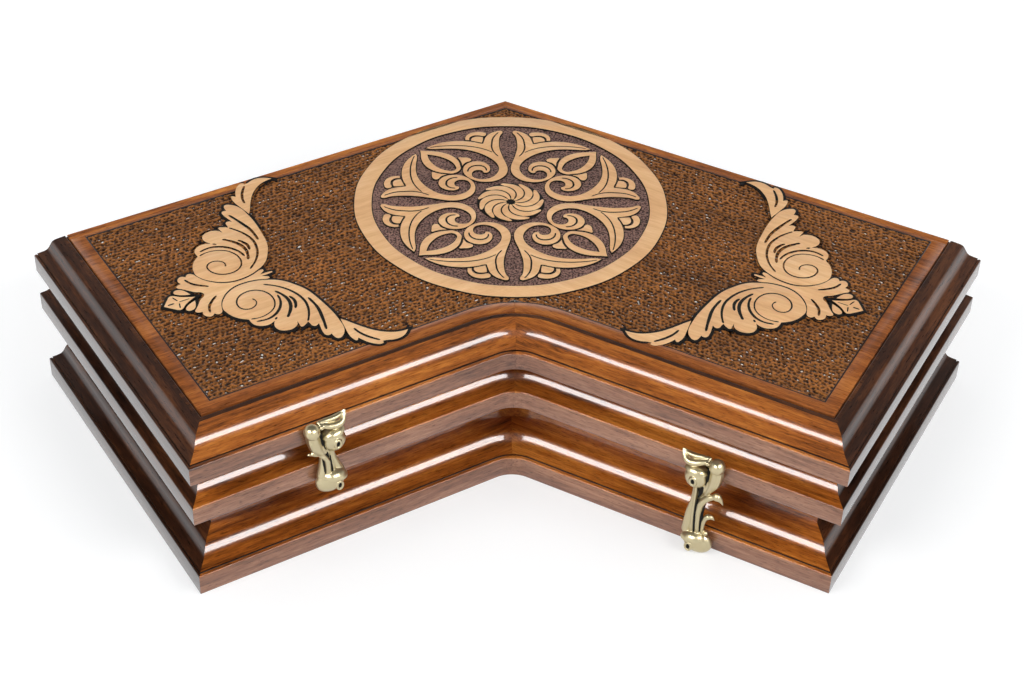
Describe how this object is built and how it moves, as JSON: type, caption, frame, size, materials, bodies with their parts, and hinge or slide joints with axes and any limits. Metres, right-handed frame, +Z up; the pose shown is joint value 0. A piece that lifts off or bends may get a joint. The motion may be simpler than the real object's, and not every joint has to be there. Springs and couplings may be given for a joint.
{
  "type": "three-player backgammon set",
  "caption": "Folding game board of hinged chevron leaves that close into a stacked box, with moulded frames, a carved lid and brass hook latches.",
  "frame": {"origin": "centre of the closed set's footprint, on the surface that it stands on", "axes": "+Z up, +X along the long side, +Y towards the chevron's point, notch towards -Y"},
  "size_m": [0.53, 0.3296, 0.093],
  "materials": {
    "frame_wood": "glossy lacquer, reddish brown",
    "panel_wood": "carved, stained dark, lacquered",
    "field_wood": "satin lacquer",
    "point_dark": "satin lacquer",
    "point_light": "satin lacquer",
    "antique_brass": "cast, antiqued",
    "checker_light": "polished",
    "checker_dark": "polished",
    "checker_red": "polished",
    "dice": "polished"
  },
  "bodies": {
    "middle_leaf": {"middle_panel_left": "panel_wood", "middle_panel_right": "panel_wood", "middle_outer_rail_left": "frame_wood", "middle_outer_rail_right": "frame_wood", "middle_inner_rail_left": "frame_wood", "middle_inner_rail_right": "frame_wood", "middle_end_rail_left": "frame_wood", "middle_end_rail_right": "frame_wood", "middle_field_left": "field_wood", "middle_field_right": "field_wood", "middle_points_dark": "point_dark", "middle_points_light": "point_light", "upper_fold_plates_middle": "antique_brass", "upper_fold_pins": "antique_brass", "upper_fold_screws_middle": "antique_brass", "lower_fold_plates_middle": "antique_brass", "lower_fold_screws_middle": "antique_brass", "left_latch_stud": "antique_brass", "right_latch_pivot": "antique_brass", "checkers_light": "checker_light", "checkers_dark": "checker_dark", "checkers_red": "checker_red", "dice": "dice"},
    "upper_leaf": {"upper_panel_left": "panel_wood", "upper_panel_right": "panel_wood", "upper_outer_rail_left": "frame_wood", "upper_outer_rail_right": "frame_wood", "upper_inner_rail_left": "frame_wood", "upper_inner_rail_right": "frame_wood", "upper_end_rail_left": "frame_wood", "upper_end_rail_right": "frame_wood", "upper_field_left": "field_wood", "upper_field_right": "field_wood", "upper_points_dark": "point_dark", "upper_points_light": "point_light", "upper_fold_plates_upper": "antique_brass", "upper_fold_screws_upper": "antique_brass", "left_latch_pivot": "antique_brass"},
    "lower_leaf": {"lower_panel_left": "panel_wood", "lower_panel_right": "panel_wood", "lower_outer_rail_left": "frame_wood", "lower_outer_rail_right": "frame_wood", "lower_inner_rail_left": "frame_wood", "lower_inner_rail_right": "frame_wood", "lower_end_rail_left": "frame_wood", "lower_end_rail_right": "frame_wood", "lower_field_left": "field_wood", "lower_field_right": "field_wood", "lower_points_dark": "point_dark", "lower_points_light": "point_light", "lower_fold_plates_lower": "antique_brass", "lower_fold_pins": "antique_brass", "lower_fold_screws_lower": "antique_brass", "right_latch_stud": "antique_brass"},
    "left_latch": {"left_latch_hook": "antique_brass"},
    "right_latch": {"right_latch_hook": "antique_brass"}
  },
  "joints": [
    {"name": "upper_fold", "type": "hinge", "parent": "middle_leaf", "child": "upper_leaf", "pos_m": [-0.0002, 0.16518, 0.06205], "axis": [-0.866, -0.5, 0], "range_deg": [0, 180]},
    {"name": "lower_fold", "type": "hinge", "parent": "middle_leaf", "child": "lower_leaf", "pos_m": [0.0002, 0.16518, 0.03095], "axis": [0.866, -0.5, 0], "range_deg": [0, 180]},
    {"name": "left_latch_swing", "type": "hinge", "parent": "upper_leaf", "child": "left_latch", "pos_m": [-0.09675, -0.12659, 0.0809], "axis": [0.5, -0.866, 0], "range_deg": [0, 110]},
    {"name": "right_latch_swing", "type": "hinge", "parent": "middle_leaf", "child": "right_latch", "pos_m": [0.09675, -0.12659, 0.05375], "axis": [0.5, 0.866, 0], "range_deg": [0, 110]}
  ]
}
